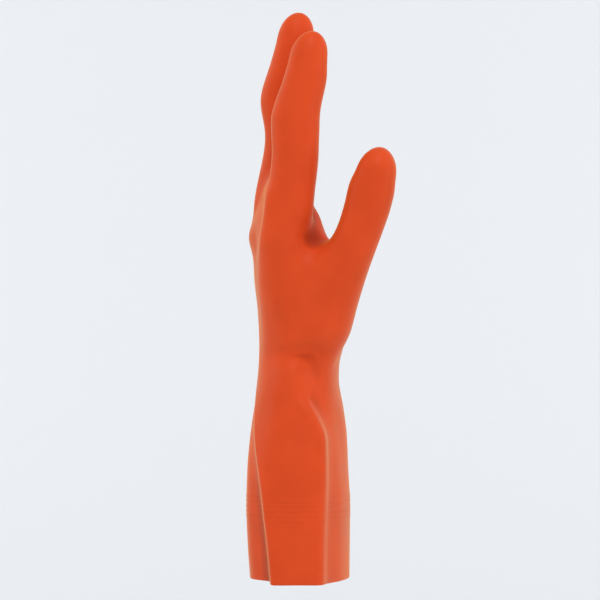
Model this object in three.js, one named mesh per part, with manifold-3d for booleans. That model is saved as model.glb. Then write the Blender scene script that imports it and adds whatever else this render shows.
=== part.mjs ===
// A one-piece dipped rubber glove for chemical work: left hand, in the shape it has when it is worn.
// Millimetres. +Z runs from the cuff mouth to the fingertips, +X points out of the palm and -Y towards
// the thumb. The origin is the middle of the cuff mouth.

import * as THREE from "three";
import { mergeVertices } from "three/addons/utils/BufferGeometryUtils.js";
import Module from "manifold-3d";

// Rubber skin
const WALL = 1.0;
const COLOUR = "#dd5028";
const ROUGHNESS = 0.45;
const METALNESS = 0.0;

// Raised ribs round the cuff
const RIB_COUNT = 5;
const RIB_PITCH = 2.7;
const RIB_HEIGHT = 0.3;
const RIB_BAND_Z = 39.4;
const RIB_BAND_LOW = RIB_BAND_Z - (RIB_COUNT * RIB_PITCH) / 2;
const RIB_BAND_HIGH = RIB_BAND_Z + (RIB_COUNT * RIB_PITCH) / 2;

// Cuff, wrist and palm as one tube, a row for each level.
// back and palm are its two broad sides along X, thumb and little its two narrow sides along Y.
// square is the power of the section: 2 is an ellipse, more is nearer to a rounded box.
const BODY = [
  { z: 0, back: -27.8, palm: 28.0, thumb: -53.0, little: 50.5, square: 2.1 },
  { z: 20, back: -29.2, palm: 28.2, thumb: -52.5, little: 50.0, square: 2.1 },
  { z: 41, back: -30.0, palm: 28.4, thumb: -51.5, little: 49.0, square: 2.1 },
  { z: 60, back: -29.6, palm: 27.4, thumb: -49.5, little: 47.5, square: 2.2 },
  { z: 80, back: -28.2, palm: 26.5, thumb: -46.0, little: 45.0, square: 2.3 },
  { z: 96, back: -26.1, palm: 24.5, thumb: -42.5, little: 42.5, square: 2.4 },
  { z: 112, back: -24.0, palm: 21.9, thumb: -40.0, little: 41.5, square: 2.5 },
  { z: 122, back: -23.2, palm: 22.4, thumb: -39.4, little: 41.6, square: 2.5 },
  { z: 131, back: -23.0, palm: 24.6, thumb: -39.6, little: 42.2, square: 2.5 },
  { z: 150, back: -23.9, palm: 17.0, thumb: -41.5, little: 43.5, square: 2.6 },
  { z: 172, back: -26.0, palm: 11.5, thumb: -43.5, little: 45.0, square: 2.7 },
  { z: 194, back: -26.4, palm: 9.0, thumb: -45.5, little: 45.0, square: 2.8 },
  { z: 214, back: -23.8, palm: 7.5, thumb: -45.0, little: 43.5, square: 2.9 },
];
const PALM_TOP_Z = 214;
const CROTCH_Z = 233;
const CROTCH_NARROWING = 0.07;

// Two folds that run down the thumb side of the cuff, a row for each level.
// angle is the place of the crest round the tube, in degrees from the palm side by way of the little
// finger; out is how far the crest stands out, and dip how far the hollow beside it goes in.
const PLEAT = [
  { z: 0, angle: 242, out: 5.5, dip: 6.4 },
  { z: 20, angle: 240, out: 5.2, dip: 6.0 },
  { z: 41, angle: 235.5, out: 4.4, dip: 5.3 },
  { z: 60, angle: 227, out: 3.2, dip: 4.0 },
  { z: 76, angle: 216, out: 1.8, dip: 2.2 },
  { z: 96, angle: 203, out: 0.9, dip: 0.9 },
  { z: 112, angle: 197, out: 0.6, dip: 0.6 },
  { z: 150, angle: 200, out: 0.0, dip: 0.0 },
  { z: 214, angle: 240, out: 0.0, dip: 0.0 },
];
const RIDGE = [
  { z: 0, angle: -63, out: 3.0, dip: 0.8 },
  { z: 41, angle: -61, out: 3.0, dip: 0.8 },
  { z: 60, angle: -59, out: 3.0, dip: 1.0 },
  { z: 79, angle: -58.5, out: 3.0, dip: 1.8 },
  { z: 92, angle: -69.5, out: 2.6, dip: 2.4 },
  { z: 108, angle: -84, out: 1.2, dip: 0.8 },
  { z: 120, angle: -96, out: 0.5, dip: 0.2 },
  { z: 132, angle: -100, out: 0.0, dip: 0.0 },
  { z: 214, angle: -60, out: 0.0, dip: 0.0 },
];
const HOLLOW_BESIDE_PLEAT = 20;
const HOLLOW_BESIDE_RIDGE = 22;

// Corners of the section where it is a plain oval, in degrees from the palm side.
const PLAIN_CORNERS = [0, 30, 60, 90, 115, 140, 162];

// Dents and swellings of the thumb side: middle, reach along X and Z, and how far they go in.
const THUMB_SIDE_Y = -15;
const DENTS = [
  { x: 2, z: 124, reachX: 12, reachZ: 4.5, depth: 2.4 },
  { x: -7, z: 116, reachX: 7, reachZ: 6.5, depth: -1.2 },
  { x: -10, z: 105, reachX: 8, reachZ: 8.5, depth: 0.8 },
];

// Fingers, a row each: where the axis leaves the palm (root), bends at the middle joint and ends.
// thick and wide are half the finger's size along X and Y at the middle joint.
// down is how far that joint lies under the tip, and sway how far the axis swings towards the palm
// between the root and the joint.
const KNUCKLE_Z = 193;
const KNUCKLE_HEIGHT = 2.8;
const KNUCKLE_REACH = 8;
const FINGERS = [
  {
    name: "index", root: [-6.4, -34.5], joint: [-2.4, -35.5], tip: [6.6, -36.5],
    tipZ: 306, down: 50, sway: 0.9, thick: 13.2, wide: 10.9,
  },
  {
    name: "middle", root: [-12.5, -11.5], joint: [-8.4, -12.0], tip: [-0.8, -12.5],
    tipZ: 318.4, down: 50, sway: 2.6, thick: 13.2, wide: 10.9,
  },
  {
    name: "ring", root: [-11.0, 11.5], joint: [-7.0, 12.5], tip: [0.8, 14.0],
    tipZ: 306, down: 48, sway: 2.0, thick: 12.7, wide: 10.6,
  },
  {
    name: "little", root: [-8.0, 33.5], joint: [-3.5, 37.0], tip: [3.5, 39.5],
    tipZ: 284, down: 38, sway: 1.0, thick: 11.2, wide: 9.6,
  },
];
const ROOT_Z = 198;
const ROOT_SHARE = 0.6;
const ROOT_BLEND = 12;
const SWAY_PLACE = 0.65;
const END_JOINT_PLACE = 0.5;
const END_JOINT_LEAN = 0.62;
const TIP_DOME = 14;

// A finger's size against its middle joint, by the distance from the tip over that of the joint.
const FINGER_SHAPE = [
  { place: 0.0, share: 0.76 },
  { place: 0.28, share: 0.78 },
  { place: 0.54, share: 0.895 },
  { place: 0.76, share: 0.955 },
  { place: 1.0, share: 1.0 },
  { place: 1.35, share: 0.96 },
  { place: 1.7, share: 0.97 },
  { place: 2.5, share: 1.0 },
];

// Thumb, a row for each section from inside the wrist to the tip: its middle, and half its size
// in the plane of the palm's edge (wide) and along Y (deep).
const THUMB = [
  { x: 2.5, y: -15, z: 108, wide: 13.5, deep: 14 },
  { x: 6.2, y: -18, z: 125, wide: 14.8, deep: 16.5 },
  { x: 7.7, y: -20, z: 131, wide: 15.7, deep: 20.6 },
  { x: 11.2, y: -23, z: 142, wide: 17.4, deep: 20 },
  { x: 17.4, y: -28, z: 160, wide: 16.0, deep: 18.5 },
  { x: 24.4, y: -34, z: 176, wide: 14.2, deep: 16 },
  { x: 31.8, y: -39, z: 192, wide: 12.6, deep: 13.5 },
  { x: 36.3, y: -42, z: 205, wide: 12.7, deep: 12.5 },
  { x: 39.3, y: -44, z: 217, wide: 12.9, deep: 12 },
  { x: 41.8, y: -45, z: 226, wide: 11.4, deep: 11.2 },
  { x: 45.0, y: -47, z: 241, wide: 9.6, deep: 9.6 },
];
const THUMB_DOME = 13;

// Skin web between the index finger and the thumb, a row for each section along its bent middle line.
const WEB = [
  { x: -0.5, y: -25, z: 212, r: 5.5 },
  { x: 5.6, y: -22, z: 198, r: 6.8 },
  { x: 11.0, y: -22.5, z: 187, r: 7.2 },
  { x: 17.0, y: -30, z: 179.5, r: 8.0 },
  { x: 27.0, y: -35, z: 185, r: 7.5 },
  { x: 36.0, y: -41, z: 204, r: 6.0 },
];

// Fineness of the faceted skin
const BODY_SAMPLES_PER_SPAN = 4;
const FINGER_SIDES = 18;
const WEB_SIDES = 8;
const STRETCHES = [
  { from: 0, to: 96, rows: 7 },
  { from: 96, to: 133, rows: 6 },
  { from: 133, to: 180, rows: 4 },
  { from: 180, to: PALM_TOP_Z, rows: 5 },
];
const CROTCH_ROWS = 4;
const CROTCH_OPEN_SHARE = 0.2;
const FINGER_ROWS = 9;
const DOME_ROWS = 4;
const MOUTH_CUT = 5;

const DEGREE = Math.PI / 180;

// A column of a table at any place along it: a cubic that passes through the rows without overshoot.
function along(table, placeColumn, column, place) {
  const last = table.length - 1;
  if (place <= table[0][placeColumn]) return table[0][column];
  if (place >= table[last][placeColumn]) return table[last][column];
  let i = 0;
  while (place > table[i + 1][placeColumn]) i++;
  const step = (k) => table[k + 1][placeColumn] - table[k][placeColumn];
  const slope = (k) => (table[k + 1][column] - table[k][column]) / step(k);
  const slopeAt = (k) => {
    if (k === 0) return slope(0);
    if (k === last) return slope(last - 1);
    const before = slope(k - 1);
    const after = slope(k);
    return before * after <= 0 ? 0 : (2 * before * after) / (before + after);
  };
  const h = step(i);
  const t = (place - table[i][placeColumn]) / h;
  const a = table[i][column];
  const b = table[i + 1][column];
  const da = slopeAt(i) * h;
  const db = slopeAt(i + 1) * h;
  return a + t * da + t * t * (3 * (b - a) - 2 * da - db) + t * t * t * (2 * (a - b) + da + db);
}

// A point of a superellipse at an angle, as shares of its half sizes.
function superellipse(angle, power) {
  const c = Math.cos(angle);
  const s = Math.sin(angle);
  return [Math.sign(c) * Math.abs(c) ** (2 / power), Math.sign(s) * Math.abs(s) ** (2 / power)];
}

// The corners of the body's section at a level: the plain oval, with the crests of the two folds out
// and the hollows beside them in. The curve through them gives the ring.
function sectionCorners(z) {
  const value = (column) => along(BODY, "z", column, z);
  const pleat = (column) => along(PLEAT, "z", column, z);
  const ridge = (column) => along(RIDGE, "z", column, z);
  const middleX = (value("back") + value("palm")) / 2;
  const middleY = (value("thumb") + value("little")) / 2;
  const halfX = (value("palm") - value("back")) / 2;
  const halfY = (value("little") - value("thumb")) / 2;
  const pleatCrest = pleat("angle");
  const pleatHollow = pleatCrest - HOLLOW_BESIDE_PLEAT;
  const ridgeCrest = ridge("angle");
  const ridgeHollow = ridgeCrest + HOLLOW_BESIDE_RIDGE;
  const corners = [
    { angle: (pleatCrest - 360 + ridgeCrest) / 2, out: 0 },
    { angle: ridgeCrest, out: ridge("out") },
    { angle: ridgeHollow, out: -ridge("dip") },
    { angle: (ridgeHollow + PLAIN_CORNERS[0]) / 2, out: 0 },
    ...PLAIN_CORNERS.map((angle) => ({ angle, out: 0 })),
    { angle: (PLAIN_CORNERS.at(-1) + pleatHollow) / 2, out: 0 },
    { angle: pleatHollow, out: -pleat("dip") },
    { angle: pleatCrest, out: pleat("out") },
  ];
  return corners.map(({ angle, out }) => {
    const [x, y] = superellipse(angle * DEGREE, value("square"));
    const point = new THREE.Vector2(halfX * x, halfY * y);
    point.setLength(point.length() + out);
    return new THREE.Vector3(middleX + point.x, middleY + point.y, z);
  });
}

// How far the skin lies outside the plain tube at a point: knuckles on the back, dents on the thumb side.
function relief(point) {
  const bump = (distance, reach) => Math.exp(-((distance / reach) ** 2));
  let out = 0;
  if (point.x < 0) {
    for (const finger of FINGERS) {
      const share = bump(point.y - finger.root[1], KNUCKLE_REACH) * bump(point.z - KNUCKLE_Z, KNUCKLE_REACH);
      out += KNUCKLE_HEIGHT * share;
    }
  }
  if (point.y < THUMB_SIDE_Y) {
    for (const dent of DENTS) {
      out -= dent.depth * bump(point.x - dent.x, dent.reachX) * bump(point.z - dent.z, dent.reachZ);
    }
  }
  return out;
}

function middleOf(ring) {
  return ring.reduce((sum, point) => sum.add(point), new THREE.Vector3()).divideScalar(ring.length);
}

// The body's ring at a level, moved outwards in its own plane by a distance.
function bodyRing(z, outwards) {
  const curve = new THREE.CatmullRomCurve3(sectionCorners(z), true, "centripetal");
  const count = curve.points.length * BODY_SAMPLES_PER_SPAN;
  const points = [];
  for (let i = 0; i < count; i++) points.push(curve.getPoint(i / count));
  return points.map((point, i) => {
    const before = points[(i + count - 1) % count];
    const after = points[(i + 1) % count];
    const normal = new THREE.Vector3(after.y - before.y, before.x - after.x, 0).normalize();
    return point.clone().addScaledVector(normal, outwards + relief(point));
  });
}

// The rings over the palm's top, which draws in to the webs between the fingers.
function crotchRings(outwards) {
  const rim = bodyRing(PALM_TOP_Z, outwards);
  const middle = middleOf(rim);
  const rings = [];
  for (let row = 1; row <= CROTCH_ROWS; row++) {
    const turn = (row / CROTCH_ROWS) * 90 * DEGREE;
    const rise = (CROTCH_Z + outwards - PALM_TOP_Z) * Math.sin(turn);
    const openX = CROTCH_OPEN_SHARE + (1 - CROTCH_OPEN_SHARE) * Math.cos(turn);
    const openY = 1 - CROTCH_NARROWING * Math.sin(turn);
    const ring = rim.map((point) => {
      const x = middle.x + (point.x - middle.x) * openX;
      const y = middle.y + (point.y - middle.y) * openY;
      return new THREE.Vector3(x, y, PALM_TOP_Z + rise);
    });
    rings.push(ring);
  }
  return rings;
}

// A closed tube through rings of points that run counter-clockwise seen from its end. Each end is
// closed by a fan: the first to the middle of its ring, the last to the tip if there is one.
function closedTube(rings, tip) {
  const sides = rings[0].length;
  const points = rings.flat();
  const faces = [];
  for (let row = 0; row + 1 < rings.length; row++) {
    for (let i = 0; i < sides; i++) {
      const next = (i + 1) % sides;
      const a = row * sides + i;
      const b = row * sides + next;
      faces.push(a, b, b + sides, a, b + sides, a + sides);
    }
  }
  const start = points.push(middleOf(rings[0])) - 1;
  const end = points.push(tip ?? middleOf(rings.at(-1))) - 1;
  const top = (rings.length - 1) * sides;
  for (let i = 0; i < sides; i++) {
    const next = (i + 1) % sides;
    faces.push(start, next, i, end, top + i, top + next);
  }
  const geometry = new THREE.BufferGeometry().setFromPoints(points);
  geometry.setIndex(faces);
  return geometry;
}

// The levels of the body's rings, each with how far it stands out. The outside has rows for the ribs.
function bodyLevels(withRibs) {
  const levels = [{ z: 0, out: 0 }];
  for (const { from, to, rows } of STRETCHES) {
    for (let row = 1; row <= rows; row++) levels.push({ z: from + ((to - from) * row) / rows, out: 0 });
  }
  if (!withRibs) return levels;
  const clear = RIB_PITCH / 2;
  const plain = levels.filter(({ z }) => z < RIB_BAND_LOW - clear || z > RIB_BAND_HIGH + clear);
  plain.push({ z: RIB_BAND_LOW, out: 0 });
  for (let rib = 0; rib < RIB_COUNT; rib++) {
    plain.push({ z: RIB_BAND_LOW + (rib + 0.5) * RIB_PITCH, out: RIB_HEIGHT });
    plain.push({ z: RIB_BAND_LOW + (rib + 1) * RIB_PITCH, out: 0 });
  }
  return plain.sort((a, b) => a.z - b.z);
}

// The cuff, wrist and palm. The hollow runs on below the mouth, so that it cuts the cuff open.
function bodyTube(inset) {
  const rings = bodyLevels(inset === 0).map(({ z, out }) => bodyRing(z, out - inset));
  if (inset > 0) rings[0].forEach((point) => (point.z = -MOUTH_CUT));
  return closedTube([...rings, ...crotchRings(-inset)]);
}

// A finger's half size as a share of its middle joint's, at a distance under the tip.
function fingerShare(finger, below) {
  const share = along(FINGER_SHAPE, "place", "share", below / finger.down);
  return below < TIP_DOME ? share * domeShare(below / TIP_DOME) : share;
}

// The round end of a finger: 0 at the very tip, 1 where the dome ends.
function domeShare(t) {
  return Math.sqrt(1 - (1 - t) ** 2);
}

// The rings of a finger, level sections of its bent axis from the root to the tip.
function fingerTube(finger, inset) {
  const tipZ = finger.tipZ - inset;
  const jointZ = finger.tipZ - finger.down;
  const endX = finger.joint[0] + END_JOINT_LEAN * (finger.tip[0] - finger.joint[0]);
  const swayX = (finger.root[0] + finger.joint[0]) / 2 + finger.sway;
  const axis = [
    { z: ROOT_Z, x: finger.root[0], y: finger.root[1] },
    { z: ROOT_Z + SWAY_PLACE * (jointZ - ROOT_Z), x: swayX, y: (finger.root[1] + finger.joint[1]) / 2 },
    { z: jointZ, x: finger.joint[0], y: finger.joint[1] },
    { z: jointZ + END_JOINT_PLACE * finger.down, x: endX, y: (finger.joint[1] + finger.tip[1]) / 2 },
    { z: finger.tipZ, x: finger.tip[0], y: finger.tip[1] },
  ];
  const shaft = tipZ - TIP_DOME - ROOT_Z;
  const belows = [];
  for (let row = 0; row <= FINGER_ROWS; row++) belows.push(TIP_DOME + shaft * (1 - row / FINGER_ROWS));
  for (let row = 1; row < DOME_ROWS; row++) {
    belows.push(TIP_DOME * (1 - Math.sin((row / DOME_ROWS) * 90 * DEGREE)));
  }
  const rings = belows.map((below) => {
    const z = tipZ - below;
    const blend = Math.min(1, (z - ROOT_Z) / ROOT_BLEND);
    const share = fingerShare(finger, below) * (ROOT_SHARE + (1 - ROOT_SHARE) * blend);
    const ring = [];
    for (let i = 0; i < FINGER_SIDES; i++) {
      const angle = (i / FINGER_SIDES) * 360 * DEGREE;
      const x = along(axis, "z", "x", z) + (finger.thick - inset) * share * Math.cos(angle);
      const y = along(axis, "z", "y", z) + (finger.wide - inset) * share * Math.sin(angle);
      ring.push(new THREE.Vector3(x, y, z));
    }
    return ring;
  });
  const tip = new THREE.Vector3(along(axis, "z", "x", tipZ), along(axis, "z", "y", tipZ), tipZ);
  return closedTube(rings, tip);
}

// A tube along a bent middle line: each ring stands square to the line, which stays near one plane of Y.
function sweptTube(middles, sides, tip) {
  const rings = middles.map(({ point, wide, deep }, i) => {
    const before = middles[Math.max(i - 1, 0)].point;
    const after = middles[Math.min(i + 1, middles.length - 1)].point;
    const forward = after.clone().sub(before).normalize();
    const across = new THREE.Vector3(0, 1, 0).cross(forward).normalize();
    const deepward = forward.clone().cross(across);
    const ring = [];
    for (let k = 0; k < sides; k++) {
      const angle = (k / sides) * 360 * DEGREE;
      const offset = across.clone().multiplyScalar(wide * Math.cos(angle));
      ring.push(point.clone().add(offset).addScaledVector(deepward, deep * Math.sin(angle)));
    }
    return ring;
  });
  return closedTube(rings, tip);
}

function thumbTube(inset) {
  const curve = new THREE.CatmullRomCurve3(THUMB.map((row) => new THREE.Vector3(row.x, row.y, row.z)));
  const length = curve.getLength() - inset;
  const distances = [];
  for (let row = 0; row <= FINGER_ROWS; row++) distances.push(((length - THUMB_DOME) * row) / FINGER_ROWS);
  for (let row = 1; row < DOME_ROWS; row++) {
    distances.push(length - THUMB_DOME + THUMB_DOME * Math.sin((row / DOME_ROWS) * 90 * DEGREE));
  }
  const middles = distances.map((distance) => {
    const point = curve.getPointAt(distance / curve.getLength());
    const below = length - distance;
    const dome = below < THUMB_DOME ? domeShare(below / THUMB_DOME) : 1;
    const wide = (along(THUMB, "z", "wide", point.z) - inset) * dome;
    const deep = (along(THUMB, "z", "deep", point.z) - inset) * dome;
    return { point, wide, deep };
  });
  return sweptTube(middles, FINGER_SIDES, curve.getPointAt(length / curve.getLength()));
}

function webTube(inset) {
  const middles = WEB.map(({ x, y, z, r }) => {
    return { point: new THREE.Vector3(x, y, z), wide: r - inset, deep: r - inset };
  });
  return sweptTube(middles, WEB_SIDES);
}

const wasm = await Module();
wasm.setup();

function toSolid(geometry) {
  const merged = mergeVertices(geometry, 1e-4);
  const vertProperties = merged.attributes.position.array;
  const triVerts = new Uint32Array(merged.index.array);
  return new wasm.Manifold(new wasm.Mesh({ numProp: 3, vertProperties, triVerts }));
}

function toGeometry(solid) {
  const mesh = solid.getMesh();
  const geometry = new THREE.BufferGeometry();
  geometry.setAttribute("position", new THREE.BufferAttribute(mesh.vertProperties, 3));
  geometry.setIndex(new THREE.BufferAttribute(mesh.triVerts, 1));
  geometry.computeVertexNormals();
  return geometry;
}

// The whole hand form, either as the outside of the rubber or as the hollow that the hand fills.
function handForm(inset) {
  let form = toSolid(bodyTube(inset));
  for (const finger of FINGERS) form = form.add(toSolid(fingerTube(finger, inset)));
  return form.add(toSolid(thumbTube(inset))).add(toSolid(webTube(inset)));
}

const rubber = new THREE.MeshStandardMaterial({ color: COLOUR, roughness: ROUGHNESS, metalness: METALNESS });

const glove = new THREE.Group();
const skin = new THREE.Mesh(toGeometry(handForm(0).subtract(handForm(WALL))), rubber);
skin.name = "glove_skin";
glove.add(skin);

export default glove;
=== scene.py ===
# %% [markdown]
# # A dipped rubber glove, worn
# The object is a chemical-resistant glove for the left hand, in the shape it has when it is worn. The real
# one is a single skin: a hand-shaped former is dipped in liquid rubber and the skin is rolled off. So there
# is one piece here, a closed skin with an open cuff. It could be sculpted, or made of tubes joined by a
# voxel remesh. Here the outside is a smooth union of a few plain forms, with sizes close to those of the
# CAD model, and one quad mesh is laid over it. Its rows can then follow the folds and ribs.

import math

import bpy
import numpy as np
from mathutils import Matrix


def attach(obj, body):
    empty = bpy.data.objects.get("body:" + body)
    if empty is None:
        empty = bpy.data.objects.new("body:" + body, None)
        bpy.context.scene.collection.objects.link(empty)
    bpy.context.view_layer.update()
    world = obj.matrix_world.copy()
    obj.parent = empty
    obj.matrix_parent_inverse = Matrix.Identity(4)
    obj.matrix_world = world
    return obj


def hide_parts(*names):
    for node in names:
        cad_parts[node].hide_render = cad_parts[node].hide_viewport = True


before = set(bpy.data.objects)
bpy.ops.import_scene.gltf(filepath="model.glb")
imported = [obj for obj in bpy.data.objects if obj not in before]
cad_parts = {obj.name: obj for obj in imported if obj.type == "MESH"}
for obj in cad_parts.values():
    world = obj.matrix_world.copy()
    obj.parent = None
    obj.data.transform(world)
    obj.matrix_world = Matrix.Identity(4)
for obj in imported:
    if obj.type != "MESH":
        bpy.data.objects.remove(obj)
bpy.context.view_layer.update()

# %% [markdown]
# ## Smooth tables
# A glove is described by a few sections, one row of a table each. Between the rows every size has to
# change smoothly and must not overshoot, or the rubber would show waves. A plain spline overshoots, so the
# slope at each row is the harmonic mean of the slopes beside it, which is the usual cure.


# %% Read a table at any place
def along(table, place):
    """Each column of a table at the given places of its first column: a cubic from row to row. The slope
    at a row is the harmonic mean of the straight slopes before and after it, or 0 at a turning point."""
    start, value = table[:, 0], table[:, 1:]
    slope = np.diff(value, axis=0) / np.diff(start)[:, None]
    before, after = slope[:-1], slope[1:]
    same_way = before * after > 0
    mean = np.where(same_way, 2 * before * after / np.where(same_way, before + after, 1), 0)
    at_row = np.vstack([slope[:1], mean, slope[-1:]])
    place = np.clip(place, start[0], start[-1])
    i = np.clip(np.searchsorted(start, place, side="right") - 1, 0, len(start) - 2)
    step = (start[i + 1] - start[i])[..., None]
    t = (place - start[i])[..., None] / step
    a, b = value[i], value[i + 1]
    da, db = at_row[i] * step, at_row[i + 1] * step
    return a + t * da + t**2 * (3 * (b - a) - 2 * da - db) + t**3 * (2 * (a - b) + da + db)


def smooth_step(low, high, value):
    """0 under low, 1 over high, and a curve without corners between: 3t^2 - 2t^3."""
    t = np.clip((value - low) / (high - low), 0, 1)
    return t * t * (3 - 2 * t)


# %% [markdown]
# ## Cuff, wrist and palm
# The tube of the cuff is an oval that gets flatter towards the palm. Loose rubber lies in two folds down
# its thumb side: a sharp pleat towards the back of the hand and a soft ridge towards the palm. Each fold is
# a crest that stands out and a hollow beside it, and past the ridge the rubber is drawn flat. Fourteen
# corners round the oval carry them, and a closed curve through the corners gives the section. Its distance
# from the middle, kept for every level and direction, then describes the whole tube.

# %% Sizes of the tube, in millimetres
# z, back, palm, thumb side, little finger side, squareness (2 is an ellipse)
BODY = np.array([
    [0, -27.8, 28.0, -53.0, 50.5, 2.1],
    [20, -29.2, 28.2, -52.5, 50.0, 2.1],
    [41, -30.0, 28.4, -51.5, 49.0, 2.1],
    [60, -29.6, 27.4, -49.5, 47.5, 2.2],
    [80, -28.2, 26.5, -46.0, 45.0, 2.3],
    [96, -26.1, 24.5, -42.0, 42.5, 2.4],
    [112, -24.0, 21.9, -40.4, 41.5, 2.5],
    [122, -23.2, 22.4, -39.9, 41.6, 2.5],
    [131, -23.0, 24.6, -39.9, 42.2, 2.5],
    [150, -23.9, 17.0, -41.5, 43.5, 2.6],
    [172, -26.0, 11.5, -43.5, 45.0, 2.7],
    [194, -26.4, 9.0, -45.5, 45.0, 2.8],
    [214, -23.8, 7.5, -45.0, 43.5, 2.9],
])
# z, direction of the crest in degrees from the palm side, how far it stands out, how far the hollow goes in
PLEAT = np.array([
    [0, 242, 5.5, 8.0],
    [20, 240, 5.2, 7.2],
    [41, 235.5, 4.4, 6.0],
    [60, 229, 3.3, 4.2],
    [76, 219, 2.2, 2.6],
    [96, 205, 1.2, 1.2],
    [112, 197, 0.6, 0.6],
    [135, 196, 0.3, 0.3],
    [150, 200, 0.0, 0.0],
    [214, 240, 0.0, 0.0],
])
# the same, and how far the face between the ridge and the palm side is pressed flat
RIDGE = np.array([
    [0, -69, 2.6, 2.8, 2.2],
    [41, -67, 2.6, 2.4, 2.2],
    [60, -65.0, 2.6, 2.4, 2.6],
    [79, -65.4, 2.8, 3.2, 3.8],
    [92, -75.0, 2.8, 3.4, 4.4],
    [108, -96, 1.2, 1.0, 3.0],
    [120, -103, 0.5, 0.3, 1.4],
    [132, -106, 0.0, 0.0, 0.0],
    [214, -60, 0.0, 0.0, 0.0],
])
# degrees from a crest to the hollow beside it, and directions of the corners that carry no fold
PLEAT_HOLLOW = 20
RIDGE_HOLLOW = 14
PLAIN_CORNERS = [0, 30, 60, 90, 115, 140, 162]
PALM_TOP = 214.0
# the floor between the fingers: the height of its dome, and how far it falls at a reach behind an x
CROTCH_RISE = 19.0
BACK_FALL, FALL_REACH, FALL_FROM_X = 13.0, 20.0, -4.0


# %% Sections as a distance for every level and direction
def middle_of(z):
    """The middle of the section at each level: halfway between its sides."""
    back, palm, thumb, little, _ = along(BODY, z).T
    return np.stack([(back + palm) / 2, (thumb + little) / 2], axis=-1)


def section_corners(z):
    """Fourteen corners of the section at each level, from its middle: points of the superellipse
    x = a cos^(2/n), y = b sin^(2/n), moved straight out at a crest and in at a hollow."""
    back, palm, thumb, little, square = along(BODY, z).T
    pleat, pleat_out, pleat_dip = along(PLEAT, z).T
    ridge, ridge_out, ridge_dip, pressed = along(RIDGE, z).T
    none = np.zeros_like(z)
    plain = [none + angle for angle in PLAIN_CORNERS]
    beside_pleat, beside_ridge = pleat - PLEAT_HOLLOW, ridge + RIDGE_HOLLOW
    angle = [(pleat - 360 + ridge) / 2, ridge, beside_ridge, beside_ridge / 2, *plain]
    angle += [(PLAIN_CORNERS[-1] + beside_pleat) / 2, beside_pleat, pleat]
    out = [none, ridge_out, -ridge_dip, -pressed, *[none] * len(plain), none, -pleat_dip, pleat_out]
    angle, out = np.radians(np.stack(angle, 1)), np.stack(out, 1)
    c, s, power = np.cos(angle), np.sin(angle), 2 / square[:, None]
    x = (palm - back)[:, None] / 2 * np.sign(c) * np.abs(c) ** power
    y = (little - thumb)[:, None] / 2 * np.sign(s) * np.abs(s) ** power
    grow = 1 + out / np.hypot(x, y)
    return np.stack([x * grow, y * grow], axis=-1)


def spline(p0, p1, p2, p3, u):
    """The curve from p1 to p2 at shares u of the way, with a neighbour on each side: a centripetal
    Catmull-Rom spline. Its knots are spaced by the square root of the distance between points, so that
    it doesn't loop or overshoot."""
    before, here, after = (
        np.sqrt(np.linalg.norm(b - a, axis=-1, keepdims=True)) for a, b in ((p0, p1), (p1, p2), (p2, p3))
    )
    leave = ((p1 - p0) / before - (p2 - p0) / (before + here) + (p2 - p1) / here) * here
    reach = ((p2 - p1) / here - (p3 - p1) / (here + after) + (p3 - p2) / after) * here
    curve = (2 * u**3 - 3 * u**2 + 1) * p1 + (u**3 - 2 * u**2 + u) * leave
    return curve + (3 * u**2 - 2 * u**3) * p2 + (u**3 - u**2) * reach


def closed_curve(corner, steps):
    """A closed curve through the corners of each level, with so many steps from corner to corner."""
    four = [np.roll(corner, shift, axis=1)[:, :, None] for shift in (1, 0, -1, -2)]
    u = (np.arange(steps) / steps)[:, None]
    return spline(*four, u).reshape(len(corner), -1, 2)


TURN = 2 * np.pi
LEVELS = np.arange(0.0, PALM_TOP + 1)
DIRECTION_COUNT = 720
DIRECTIONS = np.arange(DIRECTION_COUNT) * TURN / DIRECTION_COUNT
CORNER_STEPS = 24
outline = closed_curve(section_corners(LEVELS), CORNER_STEPS)
bearing = np.arctan2(outline[..., 1], outline[..., 0])
distance = np.hypot(outline[..., 0], outline[..., 1])
RADIUS = np.array([np.interp(DIRECTIONS, b, d, period=TURN) for b, d in zip(bearing, distance)])


def radius_of(direction, z):
    """The tube's radius in a direction at a level, read between the four nearest values of the table."""
    row = np.clip(z, 0, PALM_TOP - 1e-6)
    turn = np.mod(direction, TURN) / TURN * DIRECTION_COUNT
    i, j = row.astype(int), turn.astype(int) % DIRECTION_COUNT
    after = (j + 1) % DIRECTION_COUNT
    u, v = row - i, turn - np.floor(turn)
    below = RADIUS[i, j] * (1 - v) + RADIUS[i, after] * v
    above = RADIUS[i + 1, j] * (1 - v) + RADIUS[i + 1, after] * v
    return below * (1 - u) + above * u


print("cuff radius in mm, least and most:", RADIUS[0].min().round(1), RADIUS[0].max().round(1))

# %% [markdown]
# ## Fingers and thumb
# Each finger is an upright oval tube round a bent line, with a round end. It is thickest at the middle
# joint and gets thinner towards the tip. The thumb leans forward and out of the palm, so its sections stand
# square to its own line instead. A short bent tube makes the web of rubber between it and the index finger.

# %% Sizes of the fingers and the thumb, in millimetres
# root x, root y, joint x, joint y, tip x, tip y, tip z, joint under tip, sway, half thick, half wide
FINGERS = np.array([
    [-5.5, -34.5, -2.6, -35.5, 6.6, -36.5, 306.0, 50, 1.5, 13.6, 10.9],
    [-13.0, -11.5, -9.0, -12.0, -0.8, -12.5, 318.4, 50, 4.1, 13.3, 10.9],
    [-11.0, 11.5, -7.0, 12.5, 0.8, 14.0, 306.0, 48, 2.0, 12.7, 10.6],
    [-8.0, 33.5, -3.5, 37.0, 3.5, 39.5, 284.0, 38, 1.0, 11.2, 9.6],
])
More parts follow.
